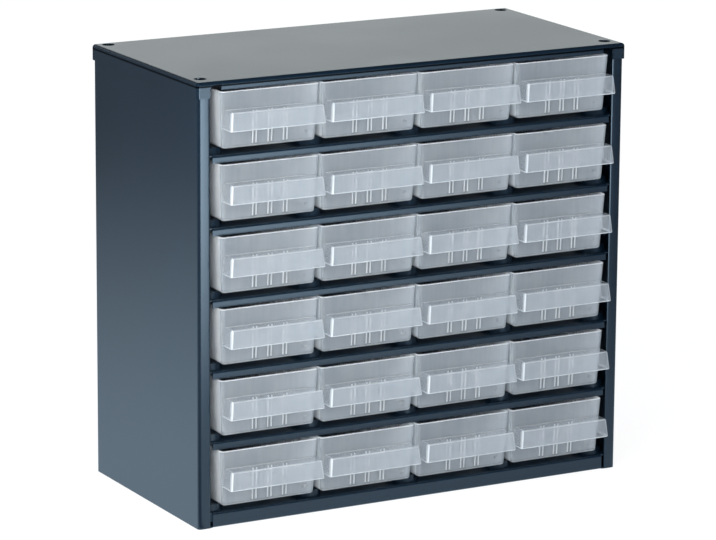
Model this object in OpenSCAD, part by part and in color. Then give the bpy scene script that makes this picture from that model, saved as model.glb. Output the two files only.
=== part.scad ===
// Sheet steel cabinet with six rows of four moulded drawers.
// The origin is on the resting plane, below the middle of the closed cabinet
// with its grips. +X runs to the right, +Y to the back and +Z up.

/* [Cabinet] */
// Overall width over the top cover
cab_w = 306; // [280:1:360]
// Depth from the front face of the top cover to its rear face
cab_d = 150; // [120:1:200]
// Overall height
cab_h = 282; // [270:1:320]
// Thickness of the sheet steel
sheet = 0.8; // [0.6:0.1:1.1]
// Outer radius of the folded edges of the cover and the side panels
bend_r = 2; // [1.4:0.1:2.6]
// Gap all round between the top cover and the body inside it
cover_gap = 0.2; // [0.1:0.05:0.4]
// Rows of drawers
rows = 6; // [5:1:6]
// Columns of drawers
cols = 4; // [3:1:5]

/* [Top cover] */
// Height of the skirt at the sides and the back, and of the front corner tabs
skirt_h = 10; // [7:0.5:14]
// Width of the front corner tabs
tab_w = 9; // [6:0.5:11]
// Clear width at each end of the front rail, up to the corner tab
rail_end_gap = 7.7; // [4:0.1:12]
// Height of the folded edge that is left beside the front rail
edge_h = 2.1; // [2:0.1:2.6]
// Height of the hem at the foot of the front rail
hem_h = 2.6; // [2:0.1:3]
// Height of the groove above the hem
groove_h = 0.5; // [0.3:0.1:0.8]
// Radius of the inner edge of the corner tabs, where it meets the cover's edge
tab_r = 3; // [1:0.5:5]
// Diameter of the four stacking holes
stack_hole_d = 8; // [5:0.5:10]
// From the side of the cover to the middle of a stacking hole
stack_in = 8.4; // [7.5:0.1:12]
// From the front of the cover to the middle of the front stacking holes
stack_front = 12.4; // [8:0.1:20]
// From the back of the cover to the middle of the rear stacking holes
stack_rear = 7.4; // [7.2:0.1:20]

/* [Body] */
// Width of the front return of each side panel
return_w = 8; // [6:0.5:10]
// Width of the rear return of each side panel, and depth of the floor's foot
inner_return_w = 10; // [8:0.5:14]
// Height of the floor above the resting plane
base_h = 9.5; // [8:0.5:14]
// Gap between a front return and the end of a shelf's lip
lip_gap = 2; // [1:0.1:3]
// Distance between the two wall keyholes
keyhole_pitch = 200; // [120:1:220]
// Diameter of the round part of a keyhole
keyhole_d = 9; // [7:0.5:12]
// Width of the narrow part of a keyhole
keyhole_slot = 4.6; // [3.5:0.1:6]
// From the top of the cabinet down to the round part of a keyhole
keyhole_down = 31; // [26:1:34]
// Rise of the narrow part above the middle of the round part
keyhole_rise = 8; // [6:0.5:12]

/* [Shelves] */
// Height of a shelf's front lip
lip_h = 4.7; // [3.5:0.1:6]
// Outer radius of a shelf's folded edges
lip_r = 1.4; // [1.2:0.1:1.8]
// Height of the weld flanges at the sides and the back of a shelf
flange_h = 8; // [7:0.5:10]
// Height at which a drawer runs above its shelf
runner_h = 4.2; // [3.5:0.1:5]
// Running gap below a drawer
run_gap = 0.2; // [0.1:0.05:0.4]
// Width of a pressed runner
runner_w = 18; // [14:0.5:22]
// Width of the crest between two drawers
crest_w = 3; // [2:0.1:3.4]
// Height of the crest above the running face
crest_h = 2.2; // [1.5:0.1:3]
// From the front of the body to the nose of a runner
nose_in = 4; // [2:0.5:8]
// From the back of the body to the tail of a runner
tail_in = 10; // [6:0.5:20]
// Free width between an outer drawer's lane and the front return beside it
lane_room = 4.8; // [3:0.1:8]

/* [Drawers] */
// Gap between the rims of two neighbours
drawer_gap = 1.6; // [1:0.1:2.2]
// Gap between a drawer's rim and the lip above it
rim_gap = 0.4; // [0.3:0.05:0.8]
// Outward lean of each wall from the bottom to the rim
lean = 2; // [1:0.1:2.2]
// Distance that the foot of the front wall stands before the cabinet
drawer_proud = 1.6; // [1:0.1:3]
// Gap between the closed drawer and the flange that stops it
close_gap = 0.3; // [0.2:0.05:0.6]
// Wall thickness
wall = 1.2; // [1:0.1:1.5]
// Floor thickness
floor_t = 1.3; // [1:0.1:1.8]
// Corner radius at the rim
corner_r = 4.4; // [4.4:0.1:6]
// Radius of the bottom edge, outside
foot_r = 2.2; // [1.6:0.1:2.2]
// Radius of the bottom edge, inside
inner_foot_r = 1; // [0.6:0.1:1.1]
// Height of the stop ears above the rim
ear_h = 3; // [1.5:0.1:3.4]
// Length of the stop ears
ear_l = 16; // [10:0.5:24]
// Gap between the stop ears and the lip when the drawer is fully out
open_gap = 0.3; // [0.2:0.05:0.6]

/* [Grip] */
// From the rim down to the grip's ledge
grip_down = 11.5; // [9:0.1:13]
// Height of the grip
grip_h = 11.8; // [9:0.1:14]
// Reach of the ledge before the front wall
grip_reach = 10.3; // [8:0.1:13]
// Flare of the grip from the ledge to its lower edge
grip_flare = 1.1; // [0.5:0.1:1.2]
// Distance that each end of the ledge stays inside the drawer's rim
grip_inset = 2.1; // [1.5:0.1:4]
// Corner radius at the grip's lower edge
grip_r = 3; // [2.9:0.1:6]
// Radius of the ledge's edge, outside
ledge_r = 1.2; // [1:0.1:1.3]

/* [Ribs] */
// Pairs of ribs on the front wall
rib_pairs = 3; // [1:1:5]
// Distance between two pairs
rib_pitch = 10.6; // [8:0.1:11]
// Distance between the two ribs of a pair
rib_split = 2.4; // [2:0.1:4]
// Width of a rib
rib_w = 0.9; // [0.6:0.1:1.4]
// Height of a rib on its wall
rib_out = 0.7; // [0.4:0.1:1]
// Divider slots along each side wall
slots = 11; // [3:1:12]
// Width of a divider slot
slot_w = 1.6; // [1.2:0.1:2.4]
// From the rim down to the top of the slot ribs
slot_down = 3; // [2:0.5:8]

/* [Hidden] */
$fn = 48;
eps = 0.01;

// Body inside the cover
body_hw = cab_w / 2 - sheet - cover_gap;
body_top = cab_h - bend_r;
rail_h = lip_h + sheet;
row_pitch = (cab_h - sheet - base_h) / rows;
opening_hw = body_hw - return_w;
col_pitch = 2 * (opening_hw - lane_room) / cols;
lip_hw = opening_hw - lip_gap;

// Drawer, from the rows and columns that it fills
drawer_h = row_pitch - runner_h - lip_h - rim_gap;
rim_hw = (col_pitch - drawer_gap) / 2;
ledge_z = drawer_h - grip_down;
ledge_lean = lean * ledge_z / drawer_h;
grip_out = drawer_proud + ledge_lean + grip_reach + grip_flare;

// Depth, with the middle of cabinet and grips at y = 0
front_y = (grip_out - cab_d) / 2;
rear_y = front_y + cab_d;
body_front = front_y + sheet + cover_gap;
body_rear = rear_y - sheet - cover_gap;
back_y = body_rear - 2 * sheet;
foot_rear = body_front + inner_return_w;
rim_front = front_y - drawer_proud - lean;
rim_rear = back_y - sheet - close_gap;
ledge_wall_y = front_y - drawer_proud - ledge_lean;

// Way that a drawer travels before its ears meet the lip
ear_front = rim_rear - corner_r - ear_l;
travel = ear_front - (body_front + sheet) - open_gap;

// Chords that stand in for the round of a moulded edge
round_steps = 3;

steel = "#33475a";
plastic = "#c3ced4";

function shelf_z(i) = base_h + i * row_pitch;
function column_x(c) = (c - (cols + 1) / 2) * col_pitch;
function drawer_z(r) = shelf_z(rows - r) + runner_h;
function drawer_name(r, c) = str("drawer_r", r, "c", c);
function shelf_name(i) = str("shelf_", i);

// ---- sheet metal folds ----

// Quarter of a bent sheet, in the corner's own quadrant: centre at the origin,
// the bend lies at negative x and positive y
module bend_ring(r) {
    intersection() {
        difference() {
            circle(r);
            circle(r - sheet);
        }
        translate([-r, 0]) square(r);
    }
}

// Section of a sheet folded down at its left edge: a flat leg of length a at the
// top from x = 0, and a standing leg of height b
module fold(a, b, r) {
    if (a > r) translate([r, -sheet]) square([a - r, sheet]);
    translate([0, -b]) square([sheet, b - r]);
    translate([r, -r]) bend_ring(r);
}

// A fold carried along X, with its standing leg at the front
module fold_front(a, b, r, half) {
    translate([-half, 0, 0]) rotate([90, 0, 90]) linear_extrude(2 * half) fold(a, b, r);
}

// A fold carried along Y, with its standing leg on the right
module fold_right(a, b, r, y0, y1) {
    translate([0, y1, 0]) rotate([90, 0, 0]) linear_extrude(y1 - y0) mirror([1, 0]) fold(a, b, r);
}

// ---- top cover ----

module cover_corner() {
    translate([0, 0, -bend_r])
    rotate_extrude(angle = 90) {
        mirror([1, 0]) bend_ring(bend_r);
        translate([bend_r - sheet, bend_r - skirt_h]) square([sheet, skirt_h - bend_r]);
    }
}

module cover_shell() {
    hw = cab_w / 2;
    inside = hw - bend_r;
    translate([-inside, front_y + bend_r, -sheet])
    cube([2 * inside, cab_d - 2 * bend_r, sheet]);
    for (s = [0, 1])
    mirror([s, 0, 0]) {
        translate([hw, 0, 0])
        fold_right(bend_r, skirt_h, bend_r, front_y + bend_r, rear_y - bend_r);
        translate([inside, rear_y - bend_r, 0]) cover_corner();
        translate([inside, front_y + bend_r, 0]) rotate([0, 0, -90]) cover_corner();
    }
    translate([0, front_y, 0]) fold_front(bend_r, skirt_h, bend_r, inside);
    translate([0, rear_y, 0]) mirror([0, 1, 0]) fold_front(bend_r, skirt_h, bend_r, inside);
}

// Window between the corner tabs, as the front shows it: it reaches up to the
// folded edge, and stays lower where the rail hangs
module front_window() {
    hw = cab_w / 2 - tab_w;
    rail_hw = hw - rail_end_gap;
    drop = skirt_h + 1;
    difference() {
        union() {
            translate([-hw, -drop]) square([2 * hw, drop - edge_h - tab_r]);
            translate([-hw + tab_r, -drop]) square([2 * (hw - tab_r), drop - edge_h]);
            for (s = [-1, 1]) translate([s * (hw - tab_r), -edge_h - tab_r]) circle(tab_r);
        }
        translate([-rail_hw, -rail_h]) square([2 * rail_hw, rail_h]);
    }
}

module top_cover() {
    rail_hw = cab_w / 2 - tab_w - rail_end_gap;
    groove_in = 2;
    color(steel)
    translate([0, 0, cab_h]) {
        difference() {
            cover_shell();
            translate([0, front_y + bend_r - eps, 0])
            rotate([90, 0, 0]) linear_extrude(bend_r + 1) front_window();
            for (s = [-1, 1])
            for (y = [front_y + stack_front, rear_y - stack_rear])
            translate([s * (cab_w / 2 - stack_in), y, -2 * sheet])
            cylinder(d = stack_hole_d, h = 3 * sheet);
            translate([groove_in - rail_hw, front_y - sheet / 4, hem_h - rail_h])
            cube([2 * (rail_hw - groove_in), sheet / 2, groove_h]);
        }
        // hem folded up behind the rail
        translate([-rail_hw, front_y + sheet, -rail_h]) cube([2 * rail_hw, sheet, hem_h]);
    }
}

// ---- side panels ----

// Plan of the right panel: front return, side wall and rear return
module side_plan() {
    translate([body_hw, body_front])
    mirror([1, 0]) {
        translate([bend_r, 0]) square([return_w - bend_r, sheet]);
        translate([bend_r, bend_r]) mirror([0, 1]) bend_ring(bend_r);
        translate([0, bend_r]) square([sheet, body_rear - body_front - 2 * bend_r]);
        translate([bend_r, body_rear - body_front - bend_r]) bend_ring(bend_r);
        translate([bend_r, body_rear - body_front - sheet])
        square([inner_return_w - bend_r, sheet]);
    }
}

module right_side_panel() {
    color(steel) {
        linear_extrude(body_top) side_plan();
        // bottom return that the cabinet stands on, beside the floor's foot
        foot_end = lip_hw + cover_gap;
        translate([foot_end, body_front + sheet / 2, 0])
        cube([body_hw - bend_r - foot_end, bend_r, sheet]);
        translate([foot_end, body_front + bend_r, 0])
        cube([body_hw - sheet / 2 - foot_end, body_rear - body_front - 2 * bend_r, sheet]);
    }
}

module left_side_panel() {
    mirror([1, 0, 0]) right_side_panel();
}

// ---- back panel ----

module keyhole() {
    cylinder(d = keyhole_d, h = 3 * sheet);
    translate([0, keyhole_rise, 0]) cylinder(d = keyhole_slot, h = 3 * sheet);
    translate([-keyhole_slot / 2, 0, 0]) cube([keyhole_slot, keyhole_rise, 3 * sheet]);
}

module back_panel() {
    half = body_hw - bend_r;
    color(steel)
    difference() {
        translate([-half, back_y, 0]) cube([2 * half, sheet, body_top]);
        for (s = [-1, 1])
        translate([s * keyhole_pitch / 2, back_y + 2 * sheet, cab_h - keyhole_down])
        rotate([90, 0, 0]) keyhole();
    }
}

// ---- shelves ----

// Half section of a runner: a running face with a crest in the middle
module runner_half(t) {
    face = runner_h - run_gap;
    crest = runner_h + crest_h;
    polygon([
        [0, -sheet],
        [runner_w / 2 - t, -sheet],
        [runner_w / 2 - t - sheet, face - t],
        [crest_w / 2 - t + sheet, face - t],
        [crest_w / 2 - t, crest - t],
        [0, crest - t]
    ]);
}

// A runner with round ends, laid along Y
module runner_solid(t) {
    nose = body_front + nose_in + runner_w / 2;
    tail = body_rear - tail_in - runner_w / 2;
    translate([0, nose, 0]) rotate([0, 0, 180]) rotate_extrude(angle = 180) runner_half(t);
    translate([0, tail, 0]) rotate_extrude(angle = 180) runner_half(t);
    translate([0, tail, 0])
    rotate([90, 0, 0]) linear_extrude(tail - nose) {
        runner_half(t);
        mirror([1, 0]) runner_half(t);
    }
}

// Plate with its side and rear flanges of height f, top face at z = 0
module plate(f) {
    hw = body_hw - sheet;
    y0 = body_front + sheet + cover_gap;
    translate([-hw + lip_r, y0, -sheet]) cube([2 * (hw - lip_r), back_y - lip_r - y0, sheet]);
    for (s = [0, 1])
    mirror([s, 0, 0])
    translate([hw, 0, 0]) fold_right(lip_r, f, lip_r, body_front + bend_r, back_y - lip_r);
    translate([0, back_y, 0]) mirror([0, 1, 0]) fold_front(lip_r, f, lip_r, hw - lip_r);
}

// Plate with the pressed runners between and beside the drawers
module runner_plate(f) {
    difference() {
        union() {
            plate(f);
            for (i = [0:cols]) translate([(i - cols / 2) * col_pitch, 0, 0]) runner_solid(0);
        }
        for (i = [0:cols])
        translate([(i - cols / 2) * col_pitch, 0, -eps]) runner_solid(sheet);
    }
}

module shelf() {
    color(steel) {
        runner_plate(flange_h);
        translate([0, body_front, 0])
        fold_front(sheet + cover_gap + lip_r, lip_h, lip_r, lip_hw);
    }
}

module floor_panel() {
    color(steel) {
        translate([0, 0, base_h]) runner_plate(base_h - 2 * sheet);
        translate([0, body_front, base_h])
        fold_front(sheet + cover_gap + lip_r, base_h / 2 + sheet, lip_r, lip_hw);
        // foot turned back under the floor
        translate([0, body_front, 0])
        mirror([0, 0, 1]) fold_front(foot_rear - body_front, base_h / 2, lip_r, lip_hw);
    }
}

// ---- drawers ----

// Section of a leaning wall over a rounded foot: r wide at the top, from x = 0
module wall_section(r, h, out, foot) {
    a = atan(out / h);
    cx = max(r - foot / cos(a) - (h - foot) * tan(a), 0);
    round_edge = [
        for (k = [0:round_steps])
        let (t = (90 - a) * k / round_steps - 90)
        [cx + foot * cos(t), foot + foot * sin(t)]
    ];
    polygon(concat([[0, 0]], round_edge, [[r, h], [0, h]]));
}

// Solid tub with walls that lean out all round. hw, y0 and y1 hold at its top.
module tub(hw, y0, y1, r, h, out, foot, closed_back = true) {
    side = hw - r;
    front = y0 + r;
    back = closed_back ? y1 - r : y1;
    translate([0, back, 0])
    rotate([90, 0, 0]) linear_extrude(back - front) {
        translate([-side, 0]) square([2 * side, h]);
        translate([side, 0]) wall_section(r, h, out, foot);
        translate([-side, 0]) mirror([1, 0]) wall_section(r, h, out, foot);
    }
    translate([-side, 0, 0])
    rotate([90, 0, 90]) linear_extrude(2 * side) {
        translate([front, 0]) square([back - front, h]);
        translate([front, 0]) mirror([1, 0]) wall_section(r, h, out, foot);
        if (closed_back) translate([back, 0]) wall_section(r, h, out, foot);
    }
    for (s = [0, 1])
    mirror([s, 0, 0]) {
        translate([side, front, 0])
        rotate([0, 0, -90]) rotate_extrude(angle = 90) wall_section(r, h, out, foot);
        if (closed_back)
        translate([side, back, 0]) rotate_extrude(angle = 90) wall_section(r, h, out, foot);
    }
}

module drawer_shell() {
    h = drawer_h - floor_t + eps;
    difference() {
        tub(rim_hw, rim_front, rim_rear, corner_r, drawer_h, lean, foot_r);
        translate([0, 0, floor_t])
        tub(rim_hw - wall, rim_front + wall, rim_rear - wall, corner_r - wall, h,
            lean * h / drawer_h, inner_foot_r);
    }
}

// Hooded grip: a ledge, a front plate and two cheeks that end inside the front
// wall, open below
module grip() {
    top_hw = rim_hw - grip_inset + grip_flare;
    y0 = ledge_wall_y - grip_reach - grip_flare;
    y1 = ledge_wall_y + (wall + lean * grip_h / drawer_h) / 2;
    difference() {
        translate([0, 0, ledge_z])
        mirror([0, 0, 1]) tub(top_hw, y0, y1, grip_r, grip_h, grip_flare, ledge_r, false);
        translate([0, 0, ledge_z - wall])
        mirror([0, 0, 1])
        tub(top_hw - wall, y0 + wall, y1 + 1, grip_r - wall, grip_h, grip_flare,
            ledge_r - wall / 2, false);
    }
}

// Ribs on the outside of the front wall, from its foot to the ledge
module front_ribs() {
    foot_z = foot_r;
    top_z = ledge_z - wall / 2;
    foot_y = rim_front + lean * (drawer_h - foot_z) / drawer_h;
    top_y = rim_front + lean * (drawer_h - top_z) / drawer_h;
    for (i = [0:rib_pairs - 1], s = [-1, 1])
    translate([(i - (rib_pairs - 1) / 2) * rib_pitch + s * rib_split / 2 - rib_w / 2, 0, 0])
    rotate([90, 0, 90]) linear_extrude(rib_w)
    polygon([
        [foot_y - rib_out, foot_z],
        [foot_y + wall / 2, foot_z],
        [top_y + wall / 2, top_z],
        [top_y - rib_out, top_z]
    ]);
}

// Ribs that make the divider slots on the right-hand wall
module slot_ribs() {
    inside = rim_rear - rim_front - 2 * corner_r;
    pitch = inside / (slots + 1);
    half_pair = (slot_w + rib_w) / 2;
    low = floor_t / 2;
    high = drawer_h - slot_down;
    low_x = rim_hw - wall / 2 - lean * (drawer_h - low) / drawer_h;
    high_x = rim_hw - wall / 2 - lean * (drawer_h - high) / drawer_h;
    for (i = [1:slots], s = [-1, 1])
    translate([0, rim_front + corner_r + i * pitch + s * half_pair + rib_w / 2, 0])
    rotate([90, 0, 0]) linear_extrude(rib_w)
    polygon([
        [low_x - wall / 2 - rib_out, low],
        [low_x, low],
        [high_x, high],
        [high_x - wall / 2 - rib_out, high]
    ]);
}

// Stop ear on the right-hand wall, at the back of the rim
module ear() {
    translate([rim_hw - wall, rim_rear - corner_r, 0])
    rotate([90, 0, 90]) linear_extrude(wall)
    polygon([
        [-ear_l, drawer_h - wall],
        [-ear_l, drawer_h + ear_h],
        [-ear_h, drawer_h + ear_h],
        [0, drawer_h],
        [0, drawer_h - wall]
    ]);
}

module drawer() {
    color(plastic) {
        drawer_shell();
        grip();
        front_ribs();
        for (s = [0, 1])
        mirror([s, 0, 0]) {
            slot_ribs();
            ear();
        }
    }
}

top_cover();
left_side_panel();
right_side_panel();
back_panel();
floor_panel();
for (i = [1:rows - 1])
translate([0, 0, shelf_z(i)]) shelf();
for (r = [1:rows], c = [1:cols])
translate([column_x(c), 0, drawer_z(r)]) drawer();
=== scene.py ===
import math

import bmesh
import bpy
import numpy as np
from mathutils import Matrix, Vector


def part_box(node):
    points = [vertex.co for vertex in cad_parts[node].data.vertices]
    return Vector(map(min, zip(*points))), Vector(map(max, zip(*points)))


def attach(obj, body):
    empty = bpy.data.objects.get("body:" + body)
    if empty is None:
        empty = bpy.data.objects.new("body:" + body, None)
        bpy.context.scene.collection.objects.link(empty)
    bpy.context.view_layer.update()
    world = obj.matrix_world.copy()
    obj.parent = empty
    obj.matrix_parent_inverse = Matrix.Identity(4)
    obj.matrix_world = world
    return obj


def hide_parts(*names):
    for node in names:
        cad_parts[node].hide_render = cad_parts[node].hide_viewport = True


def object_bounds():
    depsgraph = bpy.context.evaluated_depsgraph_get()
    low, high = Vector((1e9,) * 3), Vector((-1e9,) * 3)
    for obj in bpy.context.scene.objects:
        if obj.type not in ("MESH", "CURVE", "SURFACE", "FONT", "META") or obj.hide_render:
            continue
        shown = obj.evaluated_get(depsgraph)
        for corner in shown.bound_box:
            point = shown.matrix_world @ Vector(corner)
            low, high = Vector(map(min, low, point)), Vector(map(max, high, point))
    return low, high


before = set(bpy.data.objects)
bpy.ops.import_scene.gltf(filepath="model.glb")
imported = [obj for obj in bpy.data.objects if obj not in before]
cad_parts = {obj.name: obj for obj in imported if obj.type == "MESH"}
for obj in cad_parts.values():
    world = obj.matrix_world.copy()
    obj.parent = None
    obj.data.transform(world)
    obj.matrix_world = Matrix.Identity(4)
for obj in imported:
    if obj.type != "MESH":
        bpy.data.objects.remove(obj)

bl_info = {
    "name": "Small-parts Drawer Cabinet",
    "version": (1, 0, 0),
    "blender": (4, 5, 0),
    "location": "View3D > Sidebar > Drawer Cabinet",
    "description": "Powder-coated cabinet with moulded drawers, on a plain studio floor",
    "category": "Object",
}

MM = 0.001
CAD_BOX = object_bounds()
ROWS = 6
COLUMNS = 4
STEEL_NODES = [
    "top_cover", "left_side_panel", "right_side_panel", "back_panel", "floor_panel",
    "shelf_1", "shelf_2", "shelf_3", "shelf_4", "shelf_5",
]
DRAWER_LOW, DRAWER_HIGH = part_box("drawer_r1c1")
# middle of the rolled groove in the cover's front rail
GROOVE_Z = CAD_BOX[1].z - 2.65 * MM
# inner edge of each front return, from the middle of the cabinet
RETURN_EDGE_X = 144 * MM
# where the lamps aim: the middle of the cabinet
AIM = (0.0, 0.0, 0.14)
# middle of the painted glow on the floor near the cabinet, and of the painted pool of light in
# front of it; both show only in reflections
PAINTED_GLOW_MIDDLE = (-0.45, -0.1, 0.0)
PAINTED_POOL_STRETCH, PAINTED_POOL_MIDDLE = (1.8, 1.0, 1.0), (0.05, -1.7, 0.0)
# painted shade in reflections: the camera's side of the room is painted dark on the floor, from
# the cabinet's front left corner, this way
PAINTED_SHADE_FROM, PAINTED_SHADE_WAY = (-0.147, -0.07, 0.0), (-0.75, -0.66, 0.0)


def linear(hex_colour):
    """Turns an sRGB hex colour into the linear colour that shaders and lamps take."""
    channels = [int(hex_colour[i:i + 2], 16) / 255 for i in (1, 3, 5)]
    return [c / 12.92 if c <= 0.04045 else ((c + 0.055) / 1.055) ** 2.4 for c in channels]


def length(name, millimetres, description):
    """A size in the panel, given in millimetres and kept in metres."""
    return bpy.props.FloatProperty(
        name=name, description=description, default=millimetres * MM, min=0.0,
        unit="LENGTH", precision=5,
    )


def colour(name, hex_colour, description):
    """A colour in the panel, given as sRGB hex and kept linear."""
    return bpy.props.FloatVectorProperty(
        name=name, description=description, default=linear(hex_colour), size=3,
        subtype="COLOR", min=0.0, max=1.0,
    )


def opacity(name, share, description):
    """How much one face of the plastic hides in the panel, from 0 to 1."""
    return bpy.props.FloatProperty(
        name=name, description=description, default=share, min=0.0, max=1.0, subtype="FACTOR")


def brightness(name, strength, description, unit="NONE"):
    """A strength of light in the panel, or a lamp's power in watts."""
    return bpy.props.FloatProperty(
        name=name, description=description, default=strength, min=0.0, unit=unit)


class DrawerSizes(bpy.types.PropertyGroup):
    """Sizes of one moulded drawer"""

    lean: length("Wall lean", 2, "Outward lean of each wall from the bottom to the rim")
    wall: length("Wall", 1.2, "Wall thickness")
    floor: length("Floor", 1.3, "Floor thickness")
    corner: length("Corner radius", 2.4, "Radius of the upright corners")
    foot: length("Foot radius", 2, "Radius of the bottom edge, outside")
    inner_foot: length("Inner foot radius", 1, "Radius of the bottom edge, inside")
    ear_height: length("Ear height", 3, "Height of the stop ears above the rim")
    ear_length: length("Ear length", 16, "Length of the stop ears")
    ear_in: length("Ear inset", 4.4, "From the back of the rim to the stop ears")
    grip_down: length("Grip drop", 11.5, "From the rim down to the grip's ledge")
    grip_height: length("Grip height", 11.8, "Height of the grip")
    grip_reach: length("Grip reach", 10.3, "Reach of the ledge before the front wall")
    grip_flare: length("Grip flare", 1.1, "Flare of the grip towards its lower edge")
    grip_inset: length("Grip inset", 2.1, "From the drawer's rim to the end of the ledge")
    grip_corner: length("Grip corner", 1.4, "Corner radius at the grip's lower edge")
    ledge_round: length("Ledge edge", 1.2, "Radius of the ledge's edge")
    rib_pitch: length("Rib pitch", 10.6, "Distance between two pairs of front ribs")
    rib_split: length("Rib split", 2.4, "Distance between the two ribs of a pair")
    rib_width: length("Rib width", 0.9, "Width of a rib")
    rib_height: length("Rib height", 0.7, "Height of a rib on its wall")
    slot_pitch: length("Slot pitch", 11, "Distance between two divider slots")
    slot_width: length("Slot width", 1.6, "Width of a divider slot")
    slot_count: bpy.props.IntProperty(
        name="Slots", description="Divider slots along each side wall", default=11, min=0)
    rib_pairs: bpy.props.IntProperty(
        name="Rib pairs", description="Pairs of ribs on the front wall", default=3, min=0)


class FinishColours(bpy.types.PropertyGroup):
    """Colours and sheen of the coated steel and the moulded plastic"""

    coat: colour("Powder coat", "#0e1d2a", "Dark slate-blue powder coat")
    coat_worn: colour("Powder coat, lighter", "#132534", "The same coat where it lies thinner")
    plastic: colour("Polypropylene", "#d0dae2", "Milky, slightly blue natural polypropylene")
    plastic_cloud: colour("Polypropylene, clouded", "#dce4ea", "Its paler flow clouds")
    # the paler thick tone also serves as a painted highlight on rims, ribs and edges, and as
    # painted light on the side walls
    plastic_edge: colour("Polypropylene, thick", "#ecf4f7", "Thick edges that scatter more light")
    wall_cover: opacity("Wall opacity", 0.26, "How much one face of a thin wall hides")
    corner_cover: opacity("Floor opacity", 0.42, "How much one face of a floor or bend hides")
    # the side and edge opacities are high partly to paint in light carried through the plastic and
    # highlights on rims and ribs
    side_cover: opacity("Side opacity", 0.70, "How much one face of a side or back wall hides")
    veil_cover: opacity("Ledge opacity", 0.10, "How much one face of the grip's ledge hides")
    edge_cover: opacity("Edge opacity", 0.80, "How much one face of a rim or rib hides")


class StageSettings(bpy.types.PropertyGroup):
    """Floor, lamps and camera"""

    floor: colour("Floor", "#f4f4f4", "Pale studio floor")
    fill: brightness("Fill light", 0.66, "Even light from all round")
    fill_tint: colour("Fill tint", "#eef4ff", "Cool tint of the even light")
    mirrored: colour("Mirrored floor", "#c6e2f6", "Cool tint of floor and room in the coat")
    # strengths of the painted glow near the cabinet and of the painted pool of light, which the
    # coat mirrors of the floor
    near: brightness("Near floor", 1.85, "What the coat mirrors of the lit floor")
    pool: brightness("Pool of light", 24.0, "What the coat mirrors of the front lamp's pool")
    room: brightness("Room", 0.15, "What the coat mirrors of the room low down")
    backdrop: brightness("Backdrop", 1.10, "What the top mirrors of the backdrop")
    key: brightness("Key lamp", 9.3, "Large lamp at the front left", "POWER")
    front: brightness("Front lamp", 4.6, "Near lamp before the cabinet's left side", "POWER")
    lens: bpy.props.FloatProperty(
        name="Lens", description="Focal length in millimetres on a 36 mm wide sensor",
        default=203.64, min=1.0)


# ---- surfaces ----

def grid_faces(rows, columns, wrap):
    """Quads between neighbouring points of a grid of rows and columns; wrap joins the last
    column to the first."""
    i = np.arange(rows - 1)[:, None]
    j = np.arange(columns if wrap else columns - 1)[None, :]
    k = (j + 1) % columns
    above, below = i * columns, (i + 1) * columns
    return np.stack([above + j, above + k, below + k, below + j], axis=-1).reshape(-1, 4)


def end_caps(rows, columns):
    """The faces that close the first and the last row of a grid whose columns go round."""
    return [list(range(columns))[::-1], list(range((rows - 1) * columns, rows * columns))]


def outline(side, front, back, steps, closed):
    """Where a rounded outline turns: corner centres and unit directions out of them, in turn,
    anticlockwise from above. An open outline has only its two front corners."""
    turn = np.linspace(0.0, math.pi / 2, steps)
    corners = [(-side, front, math.pi), (side, front, 1.5 * math.pi)]
    if closed:
        corners += [(side, back, 0.0), (-side, back, 0.5 * math.pi)]
    centres, directions = [], []
    if not closed:
        centres.append([[-side, back]])
        directions.append([[-1.0, 0.0]])
    for x, y, start in corners:
        centres.append(np.tile([x, y], (steps, 1)))
        directions.append(np.stack([np.cos(start + turn), np.sin(start + turn)], axis=-1))
    if not closed:
        centres.append([[side, back]])
        directions.append([[1.0, 0.0]])
    return np.concatenate(centres), np.concatenate(directions)


def carried(centres, directions, reach, height, shift):
    """A profile carried round an outline: point = centre + reach x direction, at its height.
    A shift moves both sides of a corner inwards and leaves the corner's own radius."""
    flat = centres[None] + reach[:, None, None] * directions[None]
    ways = np.sign(np.round(directions, 6))
    beside = np.roll(ways, 1, axis=0) + np.roll(ways, -1, axis=0)
    ways = np.where(ways == 0, beside, ways).clip(-1, 1)
    flat = flat - np.reshape(shift, (-1, 1, 1)) * ways[None]
    tall = np.broadcast_to(height[:, None, None], flat.shape[:2] + (1,))
    return np.concatenate([flat, tall], axis=-1)


def leaning_profile(corner, height, out, foot, steps):
    """The foot of a wall that leans out by out over its height: an arc tangent to the wall,
    foot x (cos t, sin t) round its centre, with t from straight down to the wall's normal.
    Returns the reach from a corner of that radius, the height, and the lean left above."""
    tilt = math.atan(out / height)
    t = np.linspace(-math.pi / 2, -tilt, steps)
    rise = foot + foot * np.sin(t)
    lean = out * (1 - rise / height)
    inset = foot / math.cos(tilt) + (height - foot) * math.tan(tilt) - foot * np.cos(t)
    return corner - inset + lean, rise, lean


class Shape:
    """Points and faces of one piece, gathered from several surfaces, each face with the number
    of its material."""

    def __init__(self):
        self.points, self.faces, self.materials, self.count = [], [], [], 0

    def add(self, points, faces, materials):
        """Adds a surface, whose faces count its own points, with one material for each face
        or one for all."""
        points = np.asarray(points, float).reshape(-1, 3)
        faces = [np.asarray(f) + self.count for f in faces]
        self.points.append(points)
        self.faces += [f.tolist() for f in faces]
        self.materials += list(np.broadcast_to(materials, len(faces)))
        self.count += len(points)

    def mesh(self, name):
        """The gathered surfaces as one mesh, with points in one place merged and open ends
        filled."""
        mesh = bpy.data.meshes.new(name)
        mesh.from_pydata(np.concatenate(self.points).tolist(), [], self.faces)
        mesh.polygons.foreach_set("material_index", np.array(self.materials, np.int32))
        made = bmesh.new()
        made.from_mesh(mesh)
        bmesh.ops.remove_doubles(made, verts=made.verts, dist=1e-7)
        loose = [e for e in made.edges if e.is_boundary]
        if loose:
            bmesh.ops.holes_fill(made, edges=loose, sides=0)
        made.to_mesh(mesh)
        made.free()
        mesh.shade_smooth()
        mesh.set_sharp_from_angle(angle=math.radians(32))
        return mesh


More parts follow.
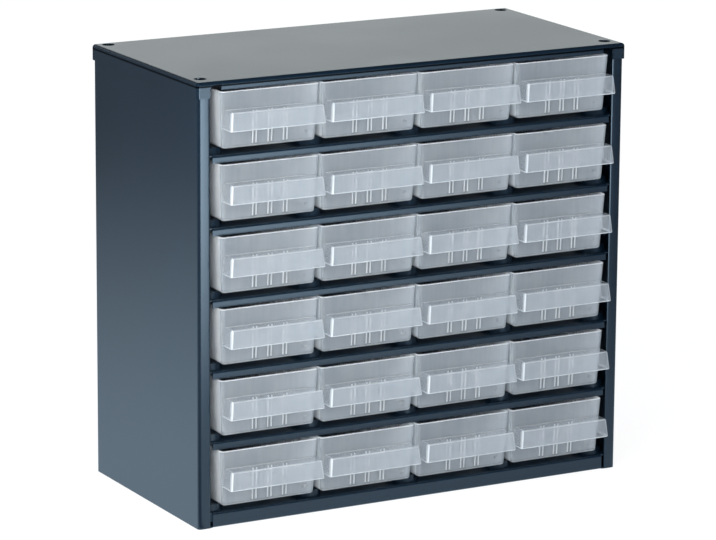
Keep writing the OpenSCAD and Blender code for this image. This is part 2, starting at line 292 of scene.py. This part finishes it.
def add_ridge(shape, start, end, across, outward, width, height, embed, material):
    """A rib on a wall: a round-nosed cross-section carried from start to end, whose height
    follows a quarter circle at both ends. The foot lies embed below the surface."""
    start, end, across, outward = (np.asarray(v, float) for v in (start, end, across, outward))
    run = np.linalg.norm(end - start)
    nose = width / 2
    t = np.linspace(0.0, math.pi, 5)
    x = np.concatenate([[-nose], -nose * np.cos(t), [nose]])
    y = np.concatenate([[-embed], height - nose * 0.7 * (1 - np.sin(t)), [-embed]])
    q = np.linspace(0.0, math.pi / 2, 3)
    distance = np.concatenate([height * (1 - np.cos(q)), run - height * (1 - np.cos(q[::-1]))])
    rise = np.concatenate([np.sin(q), np.sin(q[::-1])])
    lift = np.where(y[None] > 0, y[None] * rise[:, None], y[None])
    points = (start + (end - start) / run * distance[:, None, None]
              + across * x[None, :, None] + outward * lift[:, :, None])
    rows, columns = lift.shape
    faces = grid_faces(rows, columns, True)
    if np.dot(np.cross(across, outward), end - start) < 0:
        faces = faces[:, ::-1]
        caps = [cap[::-1] for cap in end_caps(rows, columns)]
    else:
        caps = end_caps(rows, columns)
    shape.add(points, list(faces) + caps, material)


def add_prism(shape, outline_points, offset, material):
    """A flat outline carried along an offset, with both ends closed."""
    low = np.asarray(outline_points, float)
    faces = list(grid_faces(2, len(low), True)) + end_caps(2, len(low))
    shape.add(np.stack([low, low + np.asarray(offset)]), faces, material)


# ---- the drawer ----

# numbers of a drawer's materials, in the order in which they are made
# the thick-edge finish is partly a painted highlight, and the side finish partly painted light
WALL, CORNER, EDGE_AND_HIGHLIGHT, SIDE_PAINTED_LIGHTER, VEIL, GATE = range(6)
# points round each upright corner
CORNER_STEPS = 9


def corner_columns(columns):
    """Which columns of an open outline lie on a rounded corner."""
    j = np.arange(columns) - 1
    return (j % CORNER_STEPS < CORNER_STEPS - 1) & (j >= 0)


def add_tub(shape, s, half, front, back, high):
    """The tub: one profile carried round the rounded rectangle, from the middle of the
    underside up the outer wall, over the round rim and down the inner wall to the floor."""
    side = half - s.corner
    centres, directions = outline(side, front + s.corner, back - s.corner, CORNER_STEPS, True)
    outer_r, outer_z, outer_lean = leaning_profile(s.corner, high, s.lean, s.foot, 6)
    inside = high - s.floor
    inner_r, inner_z, inner_lean = leaning_profile(
        s.corner - s.wall, inside, s.lean * inside / high, s.inner_foot, 4)
    t = np.linspace(0.0, math.pi, 7)
    rim = s.wall / 2
    rim_r = s.corner - rim - s.lean * rim / high + rim * np.cos(t)
    rim_z = high - rim + rim * np.sin(t)
    reach = np.concatenate([outer_r, rim_r, inner_r[::-1]])
    height = np.concatenate([outer_z, rim_z, s.floor + inner_z[::-1]])
    lean = np.concatenate([outer_lean, 0 * rim_r, inner_lean[::-1]])
    points = carried(centres, directions, reach, height, lean)
    rows, columns = points.shape[:2]
    material = np.full((rows - 1, columns), WALL)
    # the side walls and the back get a paler, more covering copy of the plastic, partly painted
    # light; the rim gets the thick-edge copy, partly a painted highlight; then the foot
    material[:, 2 * CORNER_STEPS - 1::CORNER_STEPS] = SIDE_PAINTED_LIGHTER
    material[len(outer_r):len(outer_r) + len(rim_r) - 1] = EDGE_AND_HIGHLIGHT
    material[:len(outer_r) - 2] = CORNER
    shape.add(points, list(grid_faces(rows, columns, True)) + end_caps(rows, columns),
              np.concatenate([material.ravel(), [CORNER, CORNER]]))


def add_hood(shape, s, half, wall_y, ledge_z, high):
    """The grip: an inverted half tub. Its profile runs from under the ledge down the inside
    of the plate, round its lower edge, and up the outside onto the ledge. Ruled surfaces join
    its first and last row to the wall."""
    top_half = half - s.grip_inset + s.grip_flare
    front = wall_y - s.grip_reach - s.grip_flare
    back = wall_y + (s.wall + s.lean * s.grip_height / high) / 2
    centres, directions = outline(
        top_half - s.grip_corner, front + s.grip_corner, back, CORNER_STEPS, False)
    outer_r, outer_s, outer_lean = leaning_profile(
        s.grip_corner, s.grip_height, s.grip_flare, s.ledge_round, 6)
    inner_r, inner_s, inner_lean = leaning_profile(
        s.grip_corner - s.wall, s.grip_height, s.grip_flare, (s.grip_corner - s.wall) / 2, 4)
    t = np.linspace(0.0, math.pi, 6)
    bead = s.wall / 2
    edge_r = s.grip_corner - bead + bead * np.cos(t)
    edge_s = s.grip_height - bead + bead * np.sin(t)
    reach = np.concatenate([inner_r, edge_r[::-1], outer_r[::-1]])
    down = np.concatenate([inner_s + s.wall, edge_s[::-1], outer_s[::-1]])
    lean = np.concatenate([inner_lean, 0 * edge_r, outer_lean[::-1]])
    points = carried(centres, directions, reach, ledge_z - down, lean)
    to_wall = points[[0, -1]].copy()
    to_wall[..., 1] = back
    points = np.concatenate([to_wall[:1], points, to_wall[1:]])
    rows, columns = points.shape[:2]
    lower_edge = 1 + len(inner_r)
    outside = len(inner_r) + len(edge_r)
    material = np.full((rows - 1, columns - 1), WALL)
    # the ledge's edge is thick; the two ends, the inside and the ledge's top hide little
    material[outside + 2:rows - 3] = CORNER
    material[:, [0, -1]] = VEIL
    material[:lower_edge] = VEIL
    material[-1] = VEIL
    # the upright corners, the lower edge with the thick-edge finish, and a painted highlight on
    # the plate's left edge outside, on the left only
    material[:, corner_columns(columns)[:-1]] = CORNER
    material[lower_edge:outside] = EDGE_AND_HIGHLIGHT
    material[outside:, 5:CORNER_STEPS] = EDGE_AND_HIGHLIGHT
    shape.add(points, list(grid_faces(rows, columns, False)), material.ravel())
    # bead where the ledge meets the front wall
    bead_half = top_half - s.grip_flare - s.wall
    add_ridge(shape, [-bead_half, wall_y, ledge_z], [bead_half, wall_y, ledge_z],
              [0, 0.7071, 0.7071], [0, -0.7071, 0.7071], 0.8 * MM, 0.25 * MM, 0.3 * MM, CORNER)


def add_front_ribs(shape, s, rim_front, ledge_z, high):
    """Pairs of round-nosed ribs on the front wall, from its foot to the ledge."""
    low, top = s.foot + 0.2 * MM, ledge_z - s.wall - 0.4 * MM
    tilt = math.atan(s.lean / high)
    for pair in range(s.rib_pairs):
        for way in (-1, 1):
            x = (pair - (s.rib_pairs - 1) / 2) * s.rib_pitch + way * s.rib_split / 2
            at = [[x, rim_front + s.lean * (high - z) / high, z] for z in (low, top)]
            # the ribs get the thick-edge finish, partly a painted highlight
            add_ridge(shape, at[0], at[1], [1, 0, 0], [0, -math.cos(tilt), -math.sin(tilt)],
                      s.rib_width, s.rib_height, s.wall / 3, EDGE_AND_HIGHLIGHT)


def add_slot_ribs(shape, s, half, front, back, high):
    """Pairs of ribs inside both side walls, which make the slots for dividers."""
    low, top = s.floor + 0.4 * MM, high - 3 * MM
    middle = (front + back) / 2
    tilt = math.atan(s.lean / high)
    for side in (-1, 1):
        for slot in range(s.slot_count):
            for way in (-1, 1):
                y = (middle + (slot - (s.slot_count - 1) / 2) * s.slot_pitch
                     + way * (s.slot_width + s.rib_width) / 2)
                at = [[side * (half - s.wall - s.lean * (high - z) / high), y, z]
                      for z in (low, top)]
                add_ridge(shape, at[0], at[1], [0, 1, 0],
                          [-side * math.cos(tilt), 0, math.sin(tilt)],
                          s.rib_width * 0.8, s.rib_height, s.wall / 3, CORNER)


def add_ears(shape, s, half, back, high):
    """The two stop ears, which stand on the rim at the back."""
    end = back - s.ear_in
    for low_x in (-half, half - s.wall):
        outline_points = [
            [low_x, end - s.ear_length, high - s.wall],
            [low_x, end, high - s.wall],
            [low_x, end, high],
            [low_x, end - s.ear_height, high + s.ear_height],
            [low_x, end - s.ear_length, high + s.ear_height],
        ]
        add_prism(shape, outline_points, [s.wall, 0, 0], CORNER)


def add_gate_mark(shape, rim_front, s, high):
    """The small scar of the mould's gate, low on the front wall: a bump whose height falls as
    a cosine from its middle, and whose outline radius is 1.15 mm x (1 + 0.12 cos 3t)."""
    x, z = 25 * MM, 6.2 * MM
    y = rim_front + s.lean * (high - z) / high
    reach = np.linspace(0.0, 1.0, 6)
    rise = (0.35 * np.cos(reach * math.pi / 2) - 0.05) * MM
    turn = np.linspace(0, 2 * math.pi, 20, endpoint=False)
    radius = 1.15 * MM * (1 + 0.12 * np.cos(3 * turn))
    points = np.stack([
        x + 1.45 * reach[:, None] * radius * np.cos(turn),
        y - rise[:, None] + 0 * turn[None],
        z + reach[:, None] * radius * np.sin(turn),
    ], axis=-1)
    shape.add(points, list(grid_faces(len(reach), len(turn), True)[:, ::-1]), GATE)


def drawer_shape(s):
    """All surfaces of one drawer, with its middle at x = 0 and its foot at z = 0."""
    half = (DRAWER_HIGH.x - DRAWER_LOW.x) / 2
    high = DRAWER_HIGH.z - DRAWER_LOW.z - s.ear_height
    ledge_z = high - s.grip_down
    wall_y = DRAWER_LOW.y + s.grip_reach + s.grip_flare
    rim_front = wall_y - s.lean * (high - ledge_z) / high
    rim_back = DRAWER_HIGH.y
    shape = Shape()
    add_tub(shape, s, half, rim_front, rim_back, high)
    add_hood(shape, s, half, wall_y, ledge_z, high)
    add_front_ribs(shape, s, rim_front, ledge_z, high)
    add_slot_ribs(shape, s, half, rim_front, rim_back, high)
    add_ears(shape, s, half, rim_back, high)
    add_gate_mark(shape, rim_front, s, high)
    return shape


# ---- materials ----

def add_node(tree, kind, inputs=None, **settings):
    """Adds one node, with its settings and the values or links of its inputs."""
    node = tree.nodes.new(kind)
    for name, value in settings.items():
        setattr(node, name, value)
    for name, value in (inputs or {}).items():
        socket = node.inputs[name]
        if isinstance(value, bpy.types.NodeSocket):
            tree.links.new(value, socket)
        else:
            socket.default_value = value
    return node


def new_material(name):
    """An empty node material with its output."""
    material = bpy.data.materials.new(name)
    material.use_nodes = True
    tree = material.node_tree
    tree.nodes.clear()
    return material, tree, add_node(tree, "ShaderNodeOutputMaterial")


def powder_coat(name, relief=None):
    """Satin polyester powder coat, sprayed dry and baked on folded steel: an even, slightly
    rippled skin with soft reflections. The ripple of a real coat is 0.5 to 1 mm across. A
    relief adds to the tree what one sheet has more, from the Object coordinates, the tone,
    the shader and the ripple's bump."""
    c = bpy.context.scene.cabinet_colours
    material, tree, output = new_material(name)
    place = add_node(tree, "ShaderNodeTexCoord").outputs["Object"]
    # the coat's thickness drifts over about 110 mm
    drift = add_node(tree, "ShaderNodeTexNoise", {"Vector": place, "Scale": 9.0, "Detail": 3.0})
    tone = add_node(tree, "ShaderNodeMix", {
        "Factor": drift.outputs["Fac"], "A": (*c.coat, 1.0), "B": (*c.coat_worn, 1.0)},
        data_type="RGBA")
    # ripple 0.8 mm across: 1250 periods a metre
    ripple = add_node(tree, "ShaderNodeTexNoise", {
        "Vector": place, "Scale": 1250.0, "Detail": 1.0})
    grain = add_node(tree, "ShaderNodeBump", {
        "Height": ripple.outputs["Fac"], "Strength": 0.10, "Distance": 0.0001})
    gloss = add_node(tree, "ShaderNodeMapRange", {
        "Value": drift.outputs["Fac"], "To Min": 0.21, "To Max": 0.29})
    shader = add_node(tree, "ShaderNodeBsdfPrincipled", {
        "Base Color": tone.outputs["Result"], "Roughness": gloss.outputs["Result"],
        "Normal": grain.outputs["Normal"], "IOR": 1.5})
    if relief:
        relief(tree, place, tone.outputs["Result"], shader, grain)
    tree.links.new(shader.outputs["BSDF"], output.inputs["Surface"])
    return material


def returns_spring_back(tree, place, tone, shader, grain):
    """The narrow returns of a side panel spring back and stay slightly round, and the coat
    rounds their edge: height in metres = -slope x u - bow x u x u / 2 - edge x v x v, with u
    from the return's inner edge outwards and v = what u falls short of 1 mm."""
    slope, bow, edge = -0.03, 22.0, 160.0
    x = add_node(tree, "ShaderNodeSeparateXYZ", {"Vector": place}).outputs["X"]
    away = add_node(tree, "ShaderNodeMath", {0: x}, operation="ABSOLUTE")
    u = add_node(tree, "ShaderNodeMath", {
        0: away.outputs[0], 1: RETURN_EDGE_X}, operation="SUBTRACT").outputs[0]
    bowed = add_node(tree, "ShaderNodeMath", {0: u, 1: -bow / 2}, operation="MULTIPLY")
    sloped = add_node(tree, "ShaderNodeMath", {0: bowed.outputs[0], 1: -slope}, operation="ADD")
    height = add_node(tree, "ShaderNodeMath", {0: sloped.outputs[0], 1: u}, operation="MULTIPLY")
    short = add_node(tree, "ShaderNodeMapRange", {
        "Value": u, "From Min": 0.0, "From Max": 1 * MM, "To Min": 1 * MM, "To Max": 0.0})
    bent = add_node(tree, "ShaderNodeMath", {
        0: short.outputs["Result"], 1: 2.0}, operation="POWER")
    rounded = add_node(tree, "ShaderNodeMath", {
        0: bent.outputs[0], 1: -edge, 2: height.outputs[0]}, operation="MULTIPLY_ADD")
    bend = add_node(tree, "ShaderNodeBump", {
        "Height": rounded.outputs[0], "Strength": 1.0, "Distance": 1.0})
    tree.links.new(bend.outputs["Normal"], grain.inputs["Normal"])


def groove_in_shade(tree, place, tone, shader, grain):
    """The rolled groove of the cover's front rail, 0.8 to 1.6 mm wide, lies in its own shade:
    its tone falls to a tenth, and its sheen with it."""
    z = add_node(tree, "ShaderNodeSeparateXYZ", {"Vector": place}).outputs["Z"]
    from_middle = add_node(tree, "ShaderNodeMath", {0: z, 1: GROOVE_Z}, operation="SUBTRACT")
    away = add_node(tree, "ShaderNodeMath", {0: from_middle.outputs[0]}, operation="ABSOLUTE")
    shade = add_node(tree, "ShaderNodeMapRange", {
        "Value": away.outputs[0], "From Min": 0.4 * MM, "From Max": 0.8 * MM,
        "To Min": 0.1, "To Max": 1.0}).outputs["Result"]
    dimmed = add_node(tree, "ShaderNodeVectorMath", {0: tone, "Scale": shade}, operation="SCALE")
    tree.links.new(dimmed.outputs["Vector"], shader.inputs["Base Color"])
    sheen = add_node(tree, "ShaderNodeMath", {0: shade, 1: 0.5}, operation="MULTIPLY")
    tree.links.new(sheen.outputs[0], shader.inputs["Specular IOR Level"])


def polypropylene(name, colour_a, colour_b, cover, roughness):
    """Natural polypropylene, injection moulded: milky, with a soft gloss and faint clouds drawn
    out along the flow. Thin walls let the dark inside show, and thick edges scatter more light and
    look white. Paler copies of it also paint in light: a painted highlight on rims, ribs and
    edges, and painted light on the side walls."""
    material, tree, output = new_material(name)
    place = add_node(tree, "ShaderNodeTexCoord").outputs["Object"]
    # flow clouds about 8 mm across and three times as tall
    drawn = add_node(tree, "ShaderNodeMapping", {"Vector": place, "Scale": (120.0, 120.0, 40.0)})
    cloud = add_node(tree, "ShaderNodeTexNoise", {
        "Vector": drawn.outputs["Vector"], "Scale": 1.0, "Detail": 2.0})
    # flow lines 2 mm apart, drawn out upwards
    thin = add_node(tree, "ShaderNodeMapping", {"Vector": place, "Scale": (500.0, 500.0, 9.0)})
    lines = add_node(tree, "ShaderNodeTexNoise", {
        "Vector": thin.outputs["Vector"], "Scale": 1.0, "Detail": 2.0})
    both = add_node(tree, "ShaderNodeMath", {0: lines.outputs["Fac"], 1: cloud.outputs["Fac"]})
    spread = add_node(tree, "ShaderNodeMapRange", {
        "Value": both.outputs[0], "From Min": 0.75, "From Max": 1.25})
    tone = add_node(tree, "ShaderNodeMix", {
        "Factor": spread.outputs["Result"], "A": (*colour_a, 1.0), "B": (*colour_b, 1.0)},
        data_type="RGBA")
    # polishing marks of the mould, 0.5 mm apart
    fine = add_node(tree, "ShaderNodeTexNoise", {"Vector": place, "Scale": 2000.0, "Detail": 1.0})
    grain = add_node(tree, "ShaderNodeBump", {
        "Height": fine.outputs["Fac"], "Strength": 0.05, "Distance": 0.0001})
    # light wanders about 3 mm inside the wall
    shader = add_node(tree, "ShaderNodeBsdfPrincipled", {
        "Base Color": tone.outputs["Result"], "Roughness": roughness, "IOR": 1.49,
        "Alpha": cover, "Normal": grain.outputs["Normal"], "Subsurface Weight": 1.0,
        "Subsurface Radius": (1.0, 1.0, 1.0), "Subsurface Scale": 3 * MM})
    tree.links.new(shader.outputs["BSDF"], output.inputs["Surface"])
    return material


def studio_floor():
    """Matt white sheet. Seen by the camera it is lifted to white, and it keeps the cabinet's
    shadow. In reflections it shows painted light: a painted glow near the cabinet and a painted
    pool of light in front, falling off into the dark room and into painted shade on the camera's
    side."""
    s = bpy.context.scene.cabinet_stage
    material, tree, output = new_material("matt_floor_sheet")
    seen = seen_directly(tree)
    place = add_node(tree, "ShaderNodeTexCoord").outputs["Object"]
    # painted reflection: a glow painted on the floor near the cabinet, where the key lamp lights
    # it, out to 1.1 m
    away = add_node(tree, "ShaderNodeVectorMath", {0: place, 1: PAINTED_GLOW_MIDDLE}, operation="DISTANCE")
    lit = add_node(tree, "ShaderNodeMapRange", {
        "Value": away.outputs["Value"], "From Min": 0.3, "From Max": 1.1,
        "To Min": s.near, "To Max": s.room})
    # painted reflection: a pool of light painted on the sheet in front of the cabinet, long and
    # narrow
    narrowed = add_node(tree, "ShaderNodeVectorMath", {
        0: place, 1: PAINTED_POOL_STRETCH}, operation="MULTIPLY")
    from_pool = add_node(tree, "ShaderNodeVectorMath", {
        0: narrowed.outputs["Vector"], 1: PAINTED_POOL_MIDDLE}, operation="DISTANCE")
    pool = add_node(tree, "ShaderNodeMapRange", {
        "Value": from_pool.outputs["Value"], "From Min": 0.4, "From Max": 1.33,
        "To Min": s.pool, "To Max": 0.0})
    both = add_node(tree, "ShaderNodeMath", {0: lit.outputs["Result"], 1: pool.outputs["Result"]})
    # painted shade in reflections: a wedge of the floor on the camera's side is painted dark
    out_of = add_node(tree, "ShaderNodeVectorMath", {0: place, 1: PAINTED_SHADE_FROM}, operation="SUBTRACT")
    way = add_node(tree, "ShaderNodeVectorMath", {
        0: out_of.outputs["Vector"]}, operation="NORMALIZE")
    along = add_node(tree, "ShaderNodeVectorMath", {
        0: way.outputs["Vector"], 1: PAINTED_SHADE_WAY}, operation="DOT_PRODUCT")
    open_side = add_node(tree, "ShaderNodeMapRange", {
        "Value": along.outputs["Value"], "From Min": 0.5, "From Max": 0.78,
        "To Min": 1.0, "To Max": 0.03})
    mirrored = add_node(tree, "ShaderNodeMath", {
        0: both.outputs[0], 1: open_side.outputs["Result"]}, operation="MULTIPLY")
    camera = add_node(tree, "ShaderNodeLightPath").outputs["Is Camera Ray"]
    # to the camera, the lift and the sheet's own light add up to white
    strength = add_node(tree, "ShaderNodeMix", {
        "Factor": camera, "A": mirrored.outputs[0], "B": 1.12}, data_type="FLOAT")
    tint = add_node(tree, "ShaderNodeMix", {
        "Factor": camera, "A": (*s.mirrored, 1.0), "B": (1.0, 1.0, 1.0, 1.0)}, data_type="RGBA")
    sheet = add_node(tree, "ShaderNodeBsdfDiffuse", {"Color": (*s.floor, 1.0)})
    lift = add_node(tree, "ShaderNodeEmission", {
        "Color": tint.outputs["Result"], "Strength": strength.outputs["Result"]})
    share = add_node(tree, "ShaderNodeMath", {0: seen, 1: 0.8}, operation="MULTIPLY")
    surface = add_node(tree, "ShaderNodeMixShader", {
        0: share.outputs[0], 1: sheet.outputs["BSDF"], 2: lift.outputs["Emission"]})
    tree.links.new(surface.outputs["Shader"], output.inputs["Surface"])
    return material


def painted_shade_ground():
    """Painted shade where the closed cabinet stands on the sheet: a dim blue-grey sheet that glows
    faintly, standing in for what little light creeps in under the lip off the coat."""
    material, tree, output = new_material("painted_shade_ground")
    glow = add_node(tree, "ShaderNodeEmission", {
        "Color": (*linear("#293845"), 1.0), "Strength": 1.0})
    tree.links.new(glow.outputs["Emission"], output.inputs["Surface"])
    return material


def backdrop_card():
    """White backdrop. Mirrored in the coat it is bright, and otherwise it lights as the
    surroundings do."""
    s = bpy.context.scene.cabinet_stage
    material, tree, output = new_material("white_backdrop")
    strength = add_node(tree, "ShaderNodeMapRange", {
        "Value": seen_directly(tree), "To Min": s.fill, "To Max": s.backdrop})
    card = add_node(tree, "ShaderNodeEmission", {
        "Color": (*linear("#f7ffff"), 1.0), "Strength": strength.outputs["Result"]})
    tree.links.new(card.outputs["Emission"], output.inputs["Surface"])
    return material


def seen_directly(tree):
    """1 for rays from the camera and for reflected and refracted ones, otherwise 0."""
    path = add_node(tree, "ShaderNodeLightPath").outputs
    first = add_node(tree, "ShaderNodeMath", {0: path["Is Camera Ray"], 1: path["Is Glossy Ray"]},
                     operation="MAXIMUM")
    return add_node(tree, "ShaderNodeMath", {0: first.outputs[0], 1: path["Is Transmission Ray"]},
                    operation="MAXIMUM").outputs[0]


# ---- operators ----

class CABINET_OT_powder_coat(bpy.types.Operator):
    """Coats the cover, panels, floor and shelves of the cabinet"""

    bl_idname = "cabinet.powder_coat"
    bl_label = "Coat the Steel"

    def execute(self, context):
        coat = powder_coat("powder_coat_slate_blue")
        special = {
            "top_cover": powder_coat("powder_coat_cover", groove_in_shade),
            "left_side_panel": powder_coat("powder_coat_side_panels", returns_spring_back),
        }
        special["right_side_panel"] = special["left_side_panel"]
        for name in STEEL_NODES:
            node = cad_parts[name]
            for place in node.material_slots:
                place.material = special.get(name, coat)
        return {"FINISHED"}


class CABINET_OT_drawers(bpy.types.Operator):
    """Makes the moulded drawers in detail, in the place of their plain solids"""

    bl_idname = "cabinet.drawers"
    bl_label = "Mould the Drawers"

    def execute(self, context):
        c = context.scene.cabinet_colours
        # lighter copies of one plastic: the thick-edge copy is partly a painted highlight, the
        # side copy partly painted light
        mixes = (
            ("thin_wall", c.plastic, c.plastic_cloud, c.wall_cover, 0.30),
            ("corner", c.plastic_cloud, c.plastic_edge, c.corner_cover, 0.28),
            ("thick_edge_and_highlight", c.plastic_cloud, c.plastic_edge, c.edge_cover, 0.26),
            ("ribbed_side_painted_lighter", c.plastic_cloud, c.plastic_edge, c.side_cover, 0.30),
            ("ledge", c.plastic, c.plastic_cloud, c.veil_cover, 0.30),
        )
        finishes = [polypropylene("polypropylene_" + mix[0], *mix[1:]) for mix in mixes]
        # painted highlight: the gate's scar gets the bright thick-edge finish only on the drawers
        # low down at the left, where it catches the light; elsewhere it has the thin wall's finish
        scar_glint_finishes = {True: finishes[EDGE_AND_HIGHLIGHT], False: finishes[WALL]}
        first = drawer_shape(context.scene.cabinet_drawer).mesh("moulded_drawer")
        points = np.empty(len(first.vertices) * 3, np.float32)
        first.vertices.foreach_get("co", points)
        for row in range(1, ROWS + 1):
            for column in range(1, COLUMNS + 1):
                node = f"drawer_r{row}c{column}"
                low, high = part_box(node)
                mesh = first.copy()
                mesh.name = "moulded_" + node
                middle = np.array([(low.x + high.x) / 2, 0.0, low.z], np.float32)
                mesh.vertices.foreach_set("co", (points.reshape(-1, 3) + middle).ravel())
                for finish in finishes + [scar_glint_finishes[row >= 4 and column <= 2]]:
                    mesh.materials.append(finish)
                mesh.update()
                piece = bpy.data.objects.new("moulded_" + node, mesh)
                context.scene.collection.objects.link(piece)
                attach(piece, node)
                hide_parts(node)
        bpy.data.meshes.remove(first)
        return {"FINISHED"}


class CABINET_OT_stage(bpy.types.Operator):
    """Sets the floor, the lamps, the surroundings and the camera"""

    bl_idname = "cabinet.stage"
    bl_label = "Set the Stage"

    def execute(self, context):
        s = context.scene.cabinet_stage
        self.sheet("floor_sheet", [(-6, -6, 0), (6, -6, 0), (6, 6, 0), (-6, 6, 0)], studio_floor())
        low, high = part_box("floor_panel")
        front, back, side, above = low.y + 1 * MM, high.y, high.x, 0.1 * MM
        # painted shade: a dim glowing sheet under the cabinet
        self.sheet("ground_below", [(-side, front, above), (side, front, above),
                                    (side, back, above), (-side, back, above)], painted_shade_ground())
        card = self.sheet("backdrop", [
            (-1, 2.6, 0.15), (4, 2.6, 0.15), (4, 2.6, 1.3), (-1, 2.6, 1.3)], backdrop_card())
        card.visible_camera = False

        context.scene.world = self.surroundings(s)
        self.lamp("key_softbox", s.key, (-1.3, -1.9, 1.9), (1.2, 1.2))
        self.lamp("front_softbox", s.front, (-0.6, -0.6, 0.38), (0.4, 0.4), False)

        # the camera's place, turn and lens follow the cabinet's visible corners
        lens = bpy.data.cameras.new("studio_camera")
        lens.sensor_width = 36.0
        lens.lens = s.lens
        lens.clip_start = 0.05
        lens.clip_end = 50.0
        camera = bpy.data.objects.new("studio_camera", lens)
        camera.location = (-1.22526, -2.22135, 0.74316)
        camera.rotation_euler = [math.radians(a) for a in (76.5197, -0.3845, -28.7125)]
        context.scene.collection.objects.link(camera)
        context.scene.camera = camera
        context.scene.view_settings.view_transform = "Standard"
        context.scene.cycles.transparent_max_bounces = 32
        return {"FINISHED"}

    def surroundings(self, s):
        """Even light from all round. Mirrored in the coat, the room is dim and its ceiling
        dark."""
        world = bpy.data.worlds.new("studio")
        world.use_nodes = True
        tree = world.node_tree
        tree.nodes.clear()
        seen = seen_directly(tree)
        up = add_node(tree, "ShaderNodeSeparateXYZ", {
            "Vector": add_node(tree, "ShaderNodeTexCoord").outputs["Generated"]}).outputs["Z"]
        mirrored = add_node(tree, "ShaderNodeMapRange", {
            "Value": up, "From Min": 0.15, "From Max": 0.5, "To Min": s.room, "To Max": 0.02})
        strength = add_node(tree, "ShaderNodeMix", {
            "Factor": seen, "A": s.fill, "B": mirrored.outputs["Result"]}, data_type="FLOAT")
        tint = add_node(tree, "ShaderNodeMix", {
            "Factor": seen, "A": (*s.fill_tint, 1.0), "B": (*s.mirrored, 1.0)}, data_type="RGBA")
        light = add_node(tree, "ShaderNodeBackground", {
            "Color": tint.outputs["Result"], "Strength": strength.outputs["Result"]})
        output = add_node(tree, "ShaderNodeOutputWorld")
        tree.links.new(light.outputs["Background"], output.inputs["Surface"])
        return world

    def sheet(self, name, corners, material):
        """A flat stage piece."""
        mesh = bpy.data.meshes.new(name)
        mesh.from_pydata(corners, [], [(0, 1, 2, 3)])
        mesh.materials.append(material)
        sheet = bpy.data.objects.new(name, mesh)
        bpy.context.scene.collection.objects.link(sheet)
        return sheet

    def lamp(self, name, power, place, size, seen=True):
        """A rectangular lamp at place that faces the middle of the cabinet. One that isn't
        seen doesn't show in the coat either."""
        light = bpy.data.lights.new(name, "AREA")
        light.shape = "RECTANGLE"
        light.energy = power
        light.size, light.size_y = size
        lamp = bpy.data.objects.new(name, light)
        lamp.location = place
        lamp.rotation_euler = (Vector(AIM) - Vector(place)).to_track_quat("-Z", "Y").to_euler()
        lamp.visible_camera = lamp.visible_glossy = seen
        bpy.context.scene.collection.objects.link(lamp)


class CABINET_PT_panel(bpy.types.Panel):
    """Lists the cabinet's settings and the steps that make it"""

    bl_label = "Drawer Cabinet"
    bl_idname = "CABINET_PT_panel"
    bl_space_type = "VIEW_3D"
    bl_region_type = "UI"
    bl_category = "Drawer Cabinet"

    def draw(self, context):
        for title, group in (("Drawer", context.scene.cabinet_drawer),
                             ("Finish", context.scene.cabinet_colours),
                             ("Stage", context.scene.cabinet_stage)):
            box = self.layout.box()
            box.label(text=title)
            for name in group.__class__.__annotations__:
                box.prop(group, name)
        for step in STEPS:
            self.layout.operator(step.bl_idname)


STEPS = [CABINET_OT_powder_coat, CABINET_OT_drawers, CABINET_OT_stage]
GROUPS = {
    "cabinet_drawer": DrawerSizes,
    "cabinet_colours": FinishColours,
    "cabinet_stage": StageSettings,
}


def register():
    for group in GROUPS.values():
        bpy.utils.register_class(group)
    for name, group in GROUPS.items():
        setattr(bpy.types.Scene, name, bpy.props.PointerProperty(type=group))
    for step in STEPS + [CABINET_PT_panel]:
        bpy.utils.register_class(step)


def unregister():
    for step in [CABINET_PT_panel] + STEPS[::-1]:
        bpy.utils.unregister_class(step)
    for name, group in GROUPS.items():
        delattr(bpy.types.Scene, name)
        bpy.utils.unregister_class(group)


def main():
    register()
    bpy.ops.cabinet.powder_coat()
    bpy.ops.cabinet.drawers()
    bpy.ops.cabinet.stage()


if __name__ == "__main__":
    main()
